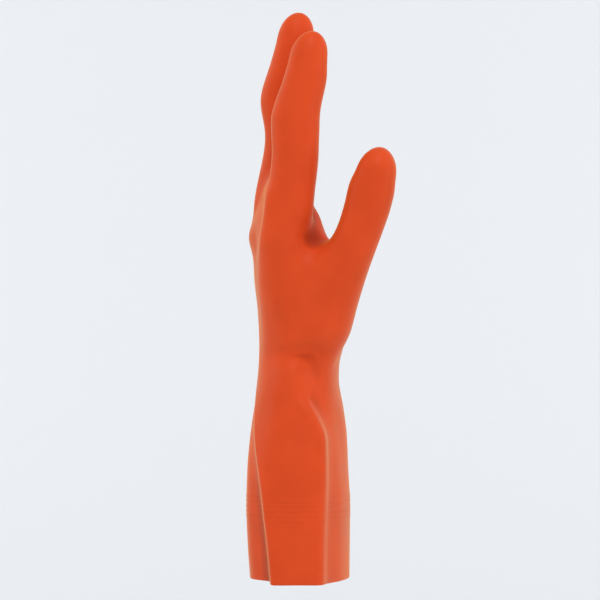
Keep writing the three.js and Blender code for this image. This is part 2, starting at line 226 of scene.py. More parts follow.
# distance under the tip over that of the joint, share of the size at the joint
FINGER_SHAPE = np.array([
    [0.0, 0.76],
    [0.28, 0.78],
    [0.54, 0.895],
    [0.76, 0.955],
    [1.0, 1.0],
    [1.35, 0.96],
    [1.7, 0.97],
    [2.5, 1.0],
])
ROOT_Z = 198.0
ROOT_STRAIGHT = 9.0  # a finger first goes straight up for so long
SWAY_AT = 0.72  # share of the way from root to middle joint where it sways most
END_LEAN = 0.62  # share of the lean from middle joint to tip reached at the end joint
TIP_DOME = 14.0
# z, x, y, half wide, half deep
THUMB = np.array([
    [108, 2.5, -15, 13.5, 14.0],
    [125, 6.2, -18, 14.8, 16.5],
    [131, 7.7, -20.0, 15.7, 20.6],
    [142, 11.2, -23, 17.4, 20.0],
    [160, 17.4, -28, 16.0, 18.5],
    [176, 24.4, -34, 14.2, 16.0],
    [192, 31.8, -39, 12.6, 13.5],
    [205, 36.3, -42, 12.7, 12.5],
    [217, 39.3, -44, 12.9, 12.0],
    [226, 41.8, -45, 11.4, 11.2],
    [241, 45.3, -47, 9.8, 9.7],
])
THUMB_DOME = 13.0
THUMB_START_DOME = 14.0
# z, x, y, radius of the web between thumb and index finger, along its bent line
WEB = np.array([
    [212, -0.5, -25.0, 5.5],
    [198, 7.4, -19.5, 6.6],
    [187, 12.4, -21.0, 7.2],
    [179.5, 17.0, -30.0, 8.0],
    [185, 27.0, -35.0, 7.5],
    [204, 36.0, -41.0, 6.0],
])
WEB_DOME = 4.0


# %% Each form as a measure that is 0 on its surface, less inside and more outside
def body_measure(p):
    """(distance from the middle / radius)^3 + (height over the palm's top / rise)^3, to the power 1/3, less
    1: the tube, closed by a dome that is the floor between the fingers. Towards the back of the hand the
    floor falls with the square of the distance, as a web does."""
    side = p[:, :2] - middle_of(np.clip(p[:, 2], 0, PALM_TOP))
    across = np.hypot(side[:, 0], side[:, 1])
    fall = BACK_FALL * (np.maximum(FALL_FROM_X - p[:, 0], 0) / FALL_REACH) ** 2
    over = np.maximum(p[:, 2] + fall - PALM_TOP, 0) / CROTCH_RISE
    share = across / radius_of(np.arctan2(side[:, 1], side[:, 0]), p[:, 2])
    return np.cbrt(share**3 + over**3) - 1


def finger_axis(finger):
    """The finger's bent line as a table of z, x, y: the root, a point that sways towards the palm, the
    middle joint, the end joint and the tip."""
    root, joint, tip = finger[0:2], finger[2:4], finger[4:6]
    tip_z, under_tip, sway = finger[6:9]
    joint_z = tip_z - under_tip
    bend = [joint[0] + END_LEAN * (tip[0] - joint[0]), (joint[1] + tip[1]) / 2]
    swayed = [(root[0] + joint[0]) / 2 + sway, (root[1] + joint[1]) / 2]
    sway_z = ROOT_Z + SWAY_AT * (joint_z - ROOT_Z)
    rows = [[ROOT_Z, *root], [ROOT_Z + ROOT_STRAIGHT, *root], [sway_z, *swayed]]
    rows += [[joint_z, *joint], [joint_z + under_tip / 2, *bend], [tip_z, *tip]]
    return np.array(rows)


def finger_section(finger, z):
    """Middle and half sizes of the finger's level section, without its round end."""
    tip_z, under_tip, _, half_thick, half_wide = finger[6:]
    x, y = along(finger_axis(finger), z).T
    share = along(FINGER_SHAPE, (tip_z - z) / under_tip)[:, 0]
    return x, y, half_thick * share, half_wide * share


def finger_measure(finger, p):
    """(x / thick)^2 + (y / wide)^2 + (height in a round end / its length)^2, as a root, less 1. The root
    has a round end too, inside the palm."""
    tip_z = finger[6]
    x, y, thick, wide = finger_section(finger, p[:, 2])
    over = np.maximum(p[:, 2] - (tip_z - TIP_DOME), 0) / TIP_DOME
    under = np.maximum(ROOT_Z + 2 - p[:, 2], 0) / TIP_DOME
    return np.sqrt(((p[:, 0] - x) / thick) ** 2 + ((p[:, 1] - y) / wide) ** 2 + over**2 + under**2) - 1


def open_curve(points, steps):
    """A curve through points in space: the same spline, with a point added past each end."""
    ends = np.vstack([2 * points[0] - points[1], points, 2 * points[-1] - points[-2]])
    four = [ends[i : len(ends) - 3 + i, None] for i in range(4)]
    curve = spline(*four, (np.arange(steps) / steps)[:, None])
    return np.vstack([curve.reshape(-1, 3), points[-1:]])


TUBE_STEPS = 12


class BentTube:
    """A tube round a line in space. Its sections stand square to the line, one half size across, in the
    plane of X and Z, and the other deep, near Y."""

    def __init__(self, points, size_at_points, start_dome, end_dome):
        self.line = open_curve(points, TUBE_STEPS)
        step = np.linalg.norm(np.diff(self.line, axis=0), axis=1)
        self.length_to = np.concatenate([[0], np.cumsum(step)])
        self.length = self.length_to[-1]
        forward = np.gradient(self.line, self.length_to, axis=0)
        self.forward = forward / np.linalg.norm(forward, axis=1, keepdims=True)
        across = np.cross([0.0, 1.0, 0.0], self.forward)
        self.across = across / np.linalg.norm(across, axis=1, keepdims=True)
        at_points = self.length_to[::TUBE_STEPS]
        self.size = along(np.column_stack([at_points, size_at_points]), self.length_to)
        self.start_dome, self.end_dome = start_dome, end_dome

    def at(self, s):
        """Middle, across, deep and forward directions, and half sizes, at a length along the line."""
        row = np.clip(np.interp(s, self.length_to, np.arange(len(self.line))), 0, len(self.line) - 1.001)
        i = row.astype(int)
        u = (row - i)[..., None]

        def mix(values):
            return values[i] * (1 - u) + values[i + 1] * u

        forward, across = mix(self.forward), mix(self.across)
        middle = mix(self.line) + forward * (s - np.clip(s, 0, self.length))[..., None]
        return middle, across, np.cross(forward, across), forward, mix(self.size)

    def nearest(self, p):
        """Length along the line to its point nearest to p: the nearest sample, then a step forward."""
        gap = p[:, None, :] - self.line[None]
        i = np.argmin(np.einsum("ijk,ijk->ij", gap, gap), axis=1)
        return self.length_to[i] + np.einsum("ij,ij->i", gap[np.arange(len(p)), i], self.forward[i])

    def measure(self, p):
        """(across / wide)^2 + (depth / deep)^2 + (length in a dome / the dome's)^2, as a root, less 1."""
        s = self.nearest(p)
        middle, across, deep, _, size = self.at(s)
        u = np.einsum("ij,ij->i", p - middle, across) / size[:, 0]
        v = np.einsum("ij,ij->i", p - middle, deep) / size[:, 1]
        end = np.maximum(s - (self.length - self.end_dome), 0) / self.end_dome
        start = np.maximum(self.start_dome - s, 0) / self.start_dome
        return np.sqrt(u**2 + v**2 + end**2 + start**2) - 1


XYZ = [1, 2, 0]
thumb = BentTube(THUMB[:, XYZ], THUMB[:, 3:5], THUMB_START_DOME, THUMB_DOME)
web = BentTube(WEB[:, XYZ], WEB[:, [3, 3]], WEB_DOME, WEB_DOME)
print("thumb's line in mm:", round(thumb.length, 1))

# %% [markdown]
# ## One smooth form
# Where a finger meets the palm, the rubber runs over in a soft fillet. A smooth minimum of the measures
# does that. It also swells two surfaces that run side by side, which would fatten the knuckles, so the
# fillet shrinks with the angle between the two surfaces. A point is brought to the form by stepping
# along the slope of the joined measure a few times.

# %% Join the forms and bring points to the surface
FILLET_THUMB = 10.0
FILLET_BALL = 30.0
FILLET_WEB = 6.0
FILLET_FINGER = 11.0
STEP = 0.02
LONGEST_MOVE = 3.0


def measured(measure, p):
    """Distance to a form, near enough, and the direction away from it: its measure over its own slope,
    which is taken from three small steps along X, Y and Z."""
    here = measure(p)
    slope = np.stack([(measure(p + STEP * axis) - here) / STEP for axis in np.eye(3)], axis=1)
    size = np.maximum(np.linalg.norm(slope, axis=1), 1e-6)
    return here / size, slope / size[:, None]


def join(first, second, fillet):
    """Smooth minimum: the lesser distance, less fillet h (1 - h), where h runs from 0 to 1 across the
    place where the two are alike. The fillet counts in full only where the surfaces face each other."""
    (a, to_a), (b, to_b) = first, second
    k = np.maximum(fillet * (1 - np.einsum("ij,ij->i", to_a, to_b)) / 2, 1e-3)
    h = np.clip(0.5 + 0.5 * (b - a) / k, 0, 1)
    direction = to_b + (to_a - to_b) * h[:, None]
    return b + (a - b) * h - k * h * (1 - h), direction


def glove_form(p, counts):
    """Distance to the whole glove. counts says for each point which of the four fingers it may meet, as
    two fingers that stand side by side must not melt together."""
    found = measured(body_measure, p)
    # the thumb's fillet grows down to the ball of the thumb and dies out at the wrist
    fillet = FILLET_THUMB + FILLET_BALL * smooth_step(196, 168, p[:, 2])
    fillet = fillet * smooth_step(122, 140, p[:, 2])
    found = join(found, measured(thumb.measure, p), fillet)
    found = join(found, measured(web.measure, p), FILLET_WEB)
    for j, finger in enumerate(FINGERS):
        away, direction = measured(lambda q: finger_measure(finger, q), p)
        away = np.where(counts[:, j], away, 1e3)
        found = join(found, (away, direction), FILLET_FINGER)
    return found


def to_surface(p, counts, steps):
    """Newton's steps: p moves by distance over slope, along the slope."""
    for _ in range(steps):
        away, direction = glove_form(p, counts)
        size = np.maximum(np.einsum("ij,ij->i", direction, direction), 0.05)
        p = p - np.clip(away / size, -LONGEST_MOVE, LONGEST_MOVE)[:, None] * direction
    return p


# %% [markdown]
# ## Laying the quads
# A hundred columns run up the tube. At the top they part into four rings, one for each finger, and a line
# of points across the palm's top closes each ring between two fingers. A patch of the thumb side is left
# out, and its edge is the first ring of the thumb. In the cuff two columns lie exactly on the crests of the
# folds, so that the folds stay sharp.

# %% Columns and rows of the tube
ACROSS = 9
SIDE = 14
COLUMNS = 8 * ACROSS + 2 * SIDE
PLEAT_COLUMN = 8 * ACROSS + SIDE
PATCH_FROM, PATCH_TO = -4, 6
PATCH_LOW, PATCH_HIGH = 134.0, 186.0
TUBE_TOP = 216.0
RIBS, RIB_PITCH, RIB_HEIGHT, RIB_MIDDLE = 5, 2.7, 0.14, 40.9
RIB_LOW, RIB_TOP = RIB_MIDDLE - RIBS * RIB_PITCH / 2, RIB_MIDDLE + RIBS * RIB_PITCH / 2

# columns whose direction is set: the ridge and its hollow, two plain ones, the pleat's hollow, three at its
# crest, the one midway to the ridge, and the ridge again
SET_COLUMNS = np.array([0, 6, 36, 50, 80, 85, 86, 87, 93, 100])
# z, and their directions in degrees above the folds, without the two beside the crest and the last
SET_DIRECTIONS = np.array([
    [0, -70, -50, 68, 112, 210, 235, 264],
    [112, -66, -40, 65, 115, 190, 212, 255],
    [134, -62, -30, 66, 114, 195, 225, 262],
    [160, -60, -28, 70, 110, 200, 235, 268],
    [186, -62, -34, 73, 107, 205, 245, 272],
    [216, -66, -45, 75, 104, 215, 255, 276],
])
CREST_GAP = 1.3
# the same at the top, where columns 9, 18, 27, 59, 68 and 77 lie between two fingers
TOP_COLUMNS = np.array([0, 9, 18, 27, 36, 50, 59, 68, 77, 86, 100])
TOP_DIRECTIONS = np.array([-73.2, -55.7, 2.8, 57.2, 77.1, 102.5, 122.7, 177.3, 236.0, 257.4, 286.8])


def spread_columns(z, columns, directions):
    """Directions of all columns at one level: the set ones, and the others at even lengths between them.
    The outline is measured every half degree over two turns, so that no set direction falls outside."""
    angle = np.radians(np.linspace(-180, 540, 1441))
    radius = radius_of(angle, np.full(len(angle), min(z, PALM_TOP)))
    point = np.stack([radius * np.cos(angle), radius * np.sin(angle)], axis=1)
    length = np.concatenate([[0], np.cumsum(np.linalg.norm(np.diff(point, axis=0), axis=1))])
    at_set = np.interp(np.radians(directions), angle, length)
    return np.interp(np.interp(np.arange(COLUMNS), columns, at_set), length, angle)


hem_rows = np.array([0.0, 0.8])
cuff_rows = np.linspace(3.0, RIB_LOW, 11)
rib_rows = RIB_LOW + RIB_PITCH / 4 * np.arange(1, 4 * RIBS + 1)
wrist_rows = np.linspace(RIB_TOP, PATCH_LOW, 31)[1:]
patch_rows = np.linspace(PATCH_LOW, PATCH_HIGH, 17)[1:]
top_rows = np.linspace(PATCH_HIGH, TUBE_TOP, 11)[1:]
ROWS = np.concatenate([hem_rows, cuff_rows, rib_rows, wrist_rows, patch_rows, top_rows])
PATCH_ROW = int(np.argmin(np.abs(ROWS - PATCH_LOW)))
PATCH_END = int(np.argmin(np.abs(ROWS - PATCH_HIGH)))

corners = section_corners(np.minimum(ROWS, PALM_TOP))
corner_direction = np.degrees(np.arctan2(corners[..., 1], corners[..., 0]))
fold_directions = corner_direction[:, [1, 2, -2, -1, 0]]
fold_directions[:, 2:] %= 360
set_at_rows = along(SET_DIRECTIONS, ROWS)
ON_FOLDS = [0, 1, 4, 5, 6]
of_folds = smooth_step(125, 92, ROWS)[:, None]
set_at_rows[:, ON_FOLDS] = of_folds * fold_directions + (1 - of_folds) * set_at_rows[:, ON_FOLDS]
hollow, crest, after = set_at_rows[:, 4:5], set_at_rows[:, 5:6], set_at_rows[:, 6:7]
# beside the crest: a fixed gap in the cuff, and above it a column of the 6 and 7 next to it
before_crest = crest - of_folds * CREST_GAP - (1 - of_folds) * (crest - hollow) / 6
after_crest = crest + of_folds * CREST_GAP + (1 - of_folds) * (after - crest) / 7
set_at_rows = np.hstack([set_at_rows[:, :5], before_crest, crest, after_crest, set_at_rows[:, 6:]])
set_rows = zip(ROWS, set_at_rows)
low_layout = np.array([spread_columns(z, SET_COLUMNS, [*row, row[0] + 360]) for z, row in set_rows])
top_layout = spread_columns(PALM_TOP, TOP_COLUMNS, TOP_DIRECTIONS)
to_top = smooth_step(188, 213, ROWS)[:, None]
directions = low_layout * (1 - to_top) + top_layout * to_top
levels = np.repeat(ROWS[:, None], COLUMNS, axis=1)
centre = middle_of(np.minimum(ROWS, PALM_TOP))[:, None]
reach = radius_of(directions, levels)
tube_x = centre[..., 0] + reach * np.cos(directions)
tube_y = centre[..., 1] + reach * np.sin(directions)
tube = np.stack([tube_x, tube_y, levels], axis=2)
print("rows and columns of the tube:", tube.shape[:2])

# %% Points of the lines between the fingers, of the finger rings and of the thumb's rings
points = [tube.reshape(-1, 3)]
counts_of = [np.ones((len(points[0]), 4), bool)]
tube_id = np.arange(len(points[0])).reshape(tube.shape[:2])
RING = 2 * (ACROSS + SIDE)


def add(new, fingers):
    """Adds points, of any grid shape, to the list and gives their numbers."""
    first, flat = sum(map(len, points)), new.reshape(-1, 3)
    points.append(flat)
    counts_of.append(np.tile(np.isin(np.arange(4), fingers), (len(flat), 1)))
    return np.arange(first, first + len(flat)).reshape(new.shape[:-1])


LINE_RISE = 16.0
line_ids = []
for w in range(3):
    palm_end, back_end = tube[-1, ACROSS * (w + 1)], tube[-1, PLEAT_COLUMN - ACROSS * (w + 1)]
    t = (np.arange(1, SIDE) / SIDE)[:, None]
    line = palm_end * (1 - t) + back_end * t
    line[:, 2] += LINE_RISE * np.sin(np.pi * t[:, 0])
    line_ids.append(add(line, [w, w + 1]))


def finger_base(j):
    """Numbers of the ring at the root of a finger, counter-clockwise seen from its tip."""
    palm = tube_id[-1, ACROSS * j : ACROSS * (j + 1) + 1]
    little = line_ids[j] if j < 3 else tube_id[-1, 4 * ACROSS + 1 : 4 * ACROSS + SIDE]
    back = tube_id[-1, PLEAT_COLUMN - ACROSS * (j + 1) : PLEAT_COLUMN - ACROSS * j + 1]
    thumb_side = line_ids[j - 1][::-1] if j > 0 else tube_id[-1, PLEAT_COLUMN + 1 : COLUMNS]
    return np.concatenate([palm, little, back, thumb_side])


BLEND_ROWS = 8
TAKEN_OVER = 5  # rows until a ring has the finger's own shape
FREE_Z = [252.0, 252.0, 252.0, 244.0]  # where each finger stands free and its rings are level
RING_PITCH = 3.1
DOME_TURNS = np.radians([16, 32, 48, 63, 76])


def ring_levels(base, free, blend_rows, start_dome, dome):
    """The level of every point of every ring: from the base's own levels to one that is free of the palm,
    then even ones up to the round end, and closer ones in it. Also how small each ring is in that end:
    root of 1 - (height in it / its length)^2."""
    share = (np.arange(1, blend_rows + 1) / blend_rows)[:, None]
    low = base[None] * (1 - share) + free * share
    rows = int(round((start_dome - free) / RING_PITCH))
    even = np.linspace(free, start_dome, rows + 1)[1:]
    high = np.concatenate([even, start_dome + dome * np.sin(DOME_TURNS)])
    level = np.vstack([low, np.repeat(high[:, None], len(base), axis=1)])
    return level, np.sqrt(1 - (np.maximum(level - start_dome, 0) / dome) ** 2)


def finger_rings(finger, base, free_z):
    """Rings from the root to the tip: x = middle + thick cos, y = middle + wide sin."""
    angle = (np.arange(RING) - ACROSS / 2) * TURN / RING
    z, shrink = ring_levels(base[:, 2], free_z, BLEND_ROWS, finger[6] - TIP_DOME, TIP_DOME)
    x, y, thick, wide = (v.reshape(z.shape) for v in finger_section(finger, z.ravel()))
    ring = np.stack([x + thick * shrink * np.cos(angle), y + wide * shrink * np.sin(angle), z], axis=2)
    own = smooth_step(0, TAKEN_OVER, np.arange(1, len(z) + 1))[:, None, None]
    start = np.concatenate([np.repeat(base[None, :, :2], len(z), axis=0), z[..., None]], axis=2)
    return start * (1 - own) + ring * own


finger_ids, tip_ids = [], []
for j, finger in enumerate(FINGERS):
    base_ids = finger_base(j)
    rings = finger_rings(finger, np.vstack(points)[base_ids], FREE_Z[j])
    finger_ids.append(np.vstack([base_ids[None], add(rings, [j])]))
    tip = np.array([*along(finger_axis(finger), finger[6:7])[0], finger[6]])
    tip_ids.append(add(tip[None], [j])[0])

patch_columns = np.arange(PATCH_FROM, PATCH_TO + 1) % COLUMNS
loop_id = np.concatenate([
    tube_id[PATCH_ROW, patch_columns[:-1]],
    tube_id[PATCH_ROW:PATCH_END, patch_columns[-1]],
    tube_id[PATCH_END, patch_columns[:0:-1]],
    tube_id[PATCH_END:PATCH_ROW:-1, patch_columns[0]],
])
THUMB_RING = len(loop_id)
THUMB_BLEND = 13
THUMB_TAKEN_OVER = 6
THUMB_TURN = 33.0  # degrees that the rings are turned by, to meet the patch straight
THUMB_FREE_AT = np.array([[34.8, -41.0, 200.0]])


def thumb_rings(base):
    """Rings of the thumb: middle + wide cos across + deep sin. Their levels are lengths along its line."""
    half = (PATCH_TO - PATCH_FROM) / 2
    angle = np.radians(THUMB_TURN - 90) + (np.arange(THUMB_RING) - half) * TURN / THUMB_RING
    free, start_dome = thumb.nearest(THUMB_FREE_AT)[0], thumb.length - THUMB_DOME
    s, shrink = ring_levels(thumb.nearest(base), free, THUMB_BLEND, start_dome, THUMB_DOME)
    middle, across, deep, _, size = thumb.at(s.ravel())
    u = (size[:, 0] * shrink.ravel() * np.tile(np.cos(angle), len(s)))[:, None]
    v = (size[:, 1] * shrink.ravel() * np.tile(np.sin(angle), len(s)))[:, None]
    ring = (middle + across * u + deep * v).reshape(*s.shape, 3)
    own = smooth_step(0, THUMB_TAKEN_OVER, np.arange(1, len(s) + 1))[:, None, None]
    return base[None] * (1 - own) + ring * own


thumb_new = add(thumb_rings(np.vstack(points)[loop_id]), [0])
thumb_ids = np.vstack([loop_id[None], thumb_new])
thumb_tip = add(thumb.line[-1:], [0])[0]
place = np.vstack(points)
counts = np.vstack(counts_of)
print("points laid:", len(place))


# %% Faces between rings, over all rows or a choice of them
def ring_faces(rings):
    """A quad between each two neighbours of a ring and of the next ring, all the way round."""
    a, b = rings[:-1], rings[1:]
    quads = [a, np.roll(a, -1, axis=1), np.roll(b, -1, axis=1), b]
    return np.stack(quads, axis=-1).reshape(-1, 4)


def tip_fan(ring, tip):
    """Triangles from the last ring to the tip, as quads whose last corner is the first again."""
    after = np.roll(ring, -1)
    return np.stack([ring, after, np.full(len(ring), tip), ring], axis=-1)


def glove_faces(rows, finger_rows, thumb_rows, loop):
    """All faces of the skin. The tube leaves out the thumb's patch."""
    grid = ring_faces(tube_id[rows]).reshape(len(rows) - 1, COLUMNS, 4)
    keep = np.ones(grid.shape[:2], bool)
    hole = [PATCH_ROW <= row < PATCH_END for row in rows[:-1]]
    keep[np.ix_(hole, patch_columns[:-1])] = False
    faces = [grid[keep]]
    for ids, chosen, tip in zip(finger_ids, finger_rows, tip_ids):
        faces += [ring_faces(ids[chosen]), tip_fan(ids[-1], tip)]
    rings = thumb_ids[thumb_rows][:, loop]
    return np.vstack([*faces, ring_faces(rings), tip_fan(rings[-1], thumb_tip)])


every_row = [range(len(ids)) for ids in finger_ids]
outer_faces = glove_faces(range(len(ROWS)), every_row, range(len(thumb_ids)), range(THUMB_RING))
print("faces of the outside:", len(outer_faces))

# %% [markdown]
# ## Settling the mesh
# The first places of the points near the webs are only guesses. Each point there is pulled towards the
# middle of its neighbours, then brought back to the form, many times over, like a net that is drawn tight
# over the hand. Points of the cuff and of the free fingers stay where they are.


# %% Draw the net tight
def edges_of(faces):
    """Every edge once, as two columns of point numbers."""
    pairs = np.vstack([faces[:, [k, (k + 1) % 4]] for k in range(4)])
    pairs = np.sort(pairs[pairs[:, 0] != pairs[:, 1]], axis=1)
    return np.unique(pairs, axis=0)


def neighbour_mean(value, edges):
    """For each point, the mean of the values of the points that it shares an edge with."""
    total = np.zeros_like(value)
    for a, b in ((0, 1), (1, 0)):
        for k in range(value.shape[1]):
            total[:, k] += np.bincount(edges[:, a], weights=value[edges[:, b], k], minlength=len(value))
    degree = np.bincount(edges.ravel(), minlength=len(value))
    return total / np.maximum(degree, 1)[:, None]


edges = edges_of(outer_faces)
used_outside = np.zeros(len(place), bool)
used_outside[edges.ravel()] = True
# the pull on each point: none in the cuff, full over the palm, and fading out along fingers and thumb
pull = smooth_step(108, 128, place[:, 2])
for ids in finger_ids:
    pull[ids[1:]] = smooth_step(BLEND_ROWS + 3, 3, np.arange(1, len(ids)))[:, None]
pull[thumb_ids[1:]] = smooth_step(THUMB_BLEND + 3, 5, np.arange(1, len(thumb_ids)))[:, None]
pull[[*tip_ids, thumb_tip]] = 0
near = np.flatnonzero(used_outside & ((place[:, 2] > 95) | (pull > 0)))
drawn = np.flatnonzero(used_outside & (pull > 0))
ROUNDS = 70
for _ in range(ROUNDS):
    away, direction = glove_form(place[drawn], counts[drawn])
    size = np.maximum(np.linalg.norm(direction, axis=1, keepdims=True), 0.2)
    outward = direction / size
    move = (neighbour_mean(place, edges) - place)[drawn] * (0.5 * pull[drawn, None])
    move -= np.einsum("ij,ij->i", move, outward)[:, None] * outward
    place[drawn] += move - np.clip(away[:, None] / size, -LONGEST_MOVE, LONGEST_MOVE) * outward
place[near] = to_surface(place[near], counts[near], 4)
left = np.abs(glove_form(place[near], counts[near])[0])
print("net settled; distance left in mm, mean and most:", left.mean().round(4), left.max().round(3))

# %% [markdown]
# ## Stretched places
# Rubber spans a tight corner instead of lying in it. The form has three such corners: under the web of the
# thumb, in the crease of the wrist, and on the floors between the fingers. There each point moves towards
# the middle of its neighbours a few times more, and this time it isn't brought back to the form.

# %% Smooth the web, the crease and the floors
STRETCH_ROUNDS = 12
FLOOR_SPREAD = 3
x, y, z = place.T
web_area = smooth_step(-12, -20, y) * smooth_step(-8, -2, x)
web_area *= smooth_step(160, 172, z) * smooth_step(206, 196, z)
wrist_area = smooth_step(-15, -25, y) * smooth_step(108, 116, z) * smooth_step(138, 128, z)
floors = np.zeros((len(place), 1))
floors[np.concatenate(line_ids)] = 1
for _ in range(FLOOR_SPREAD):
    floors = np.maximum(floors, neighbour_mean(floors, edges))
stretched = np.minimum((web_area + wrist_area)[:, None] + floors, 1) * used_outside[:, None]
for _ in range(STRETCH_ROUNDS):
    place += 0.5 * stretched * (neighbour_mean(place, edges) - place)
print("points in stretched places:", int((stretched > 0.5).sum()))

# %% [markdown]
# ## Relief
# Knuckles swell the back of the hand. The thumb side has a few soft dents: the crease where the hand
# bends, the valley under it and the pocket under the web. A faint edge with a groove behind it runs from
# the wrist to the index finger, where the rubber turns over to the back of the hand. Five low ribs run
# round the cuff, so that it doesn't stick when it is turned back. The mesh has four rows to a rib, and the
# subdivision that follows rounds them off, so they are made half as high again.


# %% Move points in or out along the surface
def corner_normals(place, faces):
    """Mean of the normals of a point's faces, each face's being the cross product of its diagonals."""
    a, b, c, d = (place[faces[:, k]] for k in range(4))
    face = np.cross(c - a, d - b)
    total = np.zeros_like(place)
    for k in range(4):
        for axis in range(3):
            total[:, axis] += np.bincount(faces[:, k], weights=face[:, axis], minlength=len(place))
    return total / np.maximum(np.linalg.norm(total, axis=1, keepdims=True), 1e-9)


def bump(distance, reach):
    """A round swelling: e to the power of minus (distance / reach) squared."""
    return np.exp(-((distance / reach) ** 2))


KNUCKLE_Z, KNUCKLE_REACH = 192.0, 8.0
KNUCKLE_HEIGHTS = [0.8, 2.8, 2.4, 1.6]
# x, z, reach along x, reach up, reach down, depth (less than 0 is a swelling), all on the thumb side
DENTS = np.array([
    [-1.0, 126.8, 13.5, 5.2, 7.0, 2.7],  # the crease of the wrist
    [9.0, 119.0, 7.5, 11.0, 15.0, 1.5],  # the valley from it down to the ridge
    [3.0, 132.0, 13.0, 5.0, 4.0, -1.0],  # the swelling over the crease
    [3.9, 193.0, 5.0, 11.0, 7.5, 2.0],  # the pocket under the web
    [-7.0, 117.0, 7.0, 6.0, 7.0, -1.2],  # a swelling under the crease
    [-10.0, 105.0, 8.0, 8.0, 9.0, 0.8],  # a shallow hollow under that
    [-14.5, 128.0, 2.6, 14.0, 14.0, 0.5],  # a furrow beside the back of the hand
])
DENTS_FROM_Y, DENTS_TO_Y = -12, -18  # they set in between these
# z, x of the edge between the thumb side and the back of the hand, and how far it stands out
BACK_EDGE = np.array([
    [120, -21.5, 0.0],
    [150, -22.5, 0.5],
    [178, -22.0, 0.6],
    [191, -20.2, 1.3],
    [208, -18.4, 1.3],
    [228, -17.0, 0.0],
])
EDGE_REACH = 2.6
# the groove behind it: its depth for each millimetre of edge, how far behind, its reach
GROOVE_SHARE, GROOVE_BEHIND, GROOVE_REACH = 1.3, 3.4, 2.2
# z, how far the very edge of the pleat and of the ridge stands out
CREST = np.array([
    [0, 0.6, 0.3],
    [45, 0.6, 0.4],
    [75, 0.4, 0.6],
    [92, 0.2, 0.6],
    [112, 0.0, 0.0],
    [216, 0.0, 0.0],
])
BESIDE_CREST = 0.45

normal = corner_normals(place, outer_faces)
x, y, z = place.T
on_back = smooth_step(0, -8, x)
height = np.zeros(len(place))
for finger, rise in zip(FINGERS, KNUCKLE_HEIGHTS):
    height += rise * on_back * bump(y - finger[1], KNUCKLE_REACH) * bump(z - KNUCKLE_Z, KNUCKLE_REACH)
on_thumb_side = smooth_step(DENTS_FROM_Y, DENTS_TO_Y, y)
for at_x, at_z, reach_x, reach_up, reach_down, depth in DENTS:
    reach_z = np.where(z > at_z, reach_up, reach_down)
    height -= depth * on_thumb_side * bump(x - at_x, reach_x) * bump(z - at_z, reach_z)
edge_x, edge_height = along(BACK_EDGE, z).T
on_side = smooth_step(-18, -26, y) * smooth_step(228, 212, z)
height += edge_height * on_side * bump(x - edge_x, EDGE_REACH)
height -= GROOVE_SHARE * edge_height * on_side * bump(x - edge_x + GROOVE_BEHIND, GROOVE_REACH)
pleat_rise, ridge_rise = along(CREST, ROWS).T
for column, rise in ((PLEAT_COLUMN, pleat_rise), (0, ridge_rise)):
    height[tube_id[:, column]] += rise
    height[tube_id[:, column - 1]] += BESIDE_CREST * rise
    height[tube_id[:, column + 1]] += BESIDE_CREST * rise
plain = place + normal * height[:, None]

SOFTENING = 1.5
rib_wave = 0.5 - 0.5 * np.cos((ROWS - RIB_LOW) / RIB_PITCH * TURN)
in_band = (ROWS > RIB_LOW - 0.01) & (ROWS < RIB_TOP + 0.01)
rib_rise = np.where(in_band, RIB_HEIGHT * (0.5 + SOFTENING * (rib_wave - 0.5)), 0)
ribbed = plain.copy()
ribbed[tube_id] += normal[tube_id] * rib_rise[:, None, None]
print("ribs stand out by", rib_rise.max().round(2), "mm before they are smoothed")

# %% [markdown]
# ## The wall
# The rubber is 1.0 mm thick. A Solidify modifier would give that too, but the inside needs only every other
# row, which keeps the piece light. So the inside is the same net moved in along its normals, with fewer
# rows and its faces turned round, and a strip at the hem joins it to the outside as the cut edge.

# %% Inside skin and hem
WALL = 1.0
first_rib = len(hem_rows) + len(cuff_rows)
last_rib = first_rib + len(rib_rows) - 1
inner_rows = [0, 1, *range(2, first_rib, 2), *range(first_rib + 3, last_rib + 1, 4)]
inner_rows += range(last_rib + 2, len(ROWS), 2)
inner_fingers = [
    sorted({0, *range(2, BLEND_ROWS, 2), *range(BLEND_ROWS, len(ids), 2), len(ids) - 1})
    for ids in finger_ids
]
inner_thumb = [*range(0, len(thumb_ids) - 1, 2), len(thumb_ids) - 1]

# round the patch, its low and high edge keep all points, and its sides every other one
wide, side = PATCH_TO - PATCH_FROM, PATCH_END - PATCH_ROW
inner_loop = [*range(wide), *range(wide, wide + side, 2)]
inner_loop += [*range(wide + side, 2 * wide + side), *range(2 * wide + side, THUMB_RING, 2)]
inner_faces = glove_faces(inner_rows, inner_fingers, inner_thumb, inner_loop)

# turned round, a face's corners run backwards, but in a fan the first corner stays first and last
of_fan = inner_faces[:, :1] == inner_faces[:, 3:]
turned = np.where(of_fan, inner_faces[:, [0, 2, 1, 3]], inner_faces[:, ::-1])
normal = corner_normals(plain, outer_faces)
inside = plain - normal * WALL
rim = tube_id[0]
next_on_rim = np.roll(rim, -1)
inside[rim, 2] = 0
hem = np.stack([rim, rim + len(place), next_on_rim + len(place), next_on_rim], axis=1)
all_places = np.vstack([ribbed, inside])
all_faces = np.vstack([outer_faces, turned + len(place), hem])
print("faces in all:", len(all_faces))


# %% Make the mesh
MM = 0.001  # the tables are in millimetres, and Blender is in metres


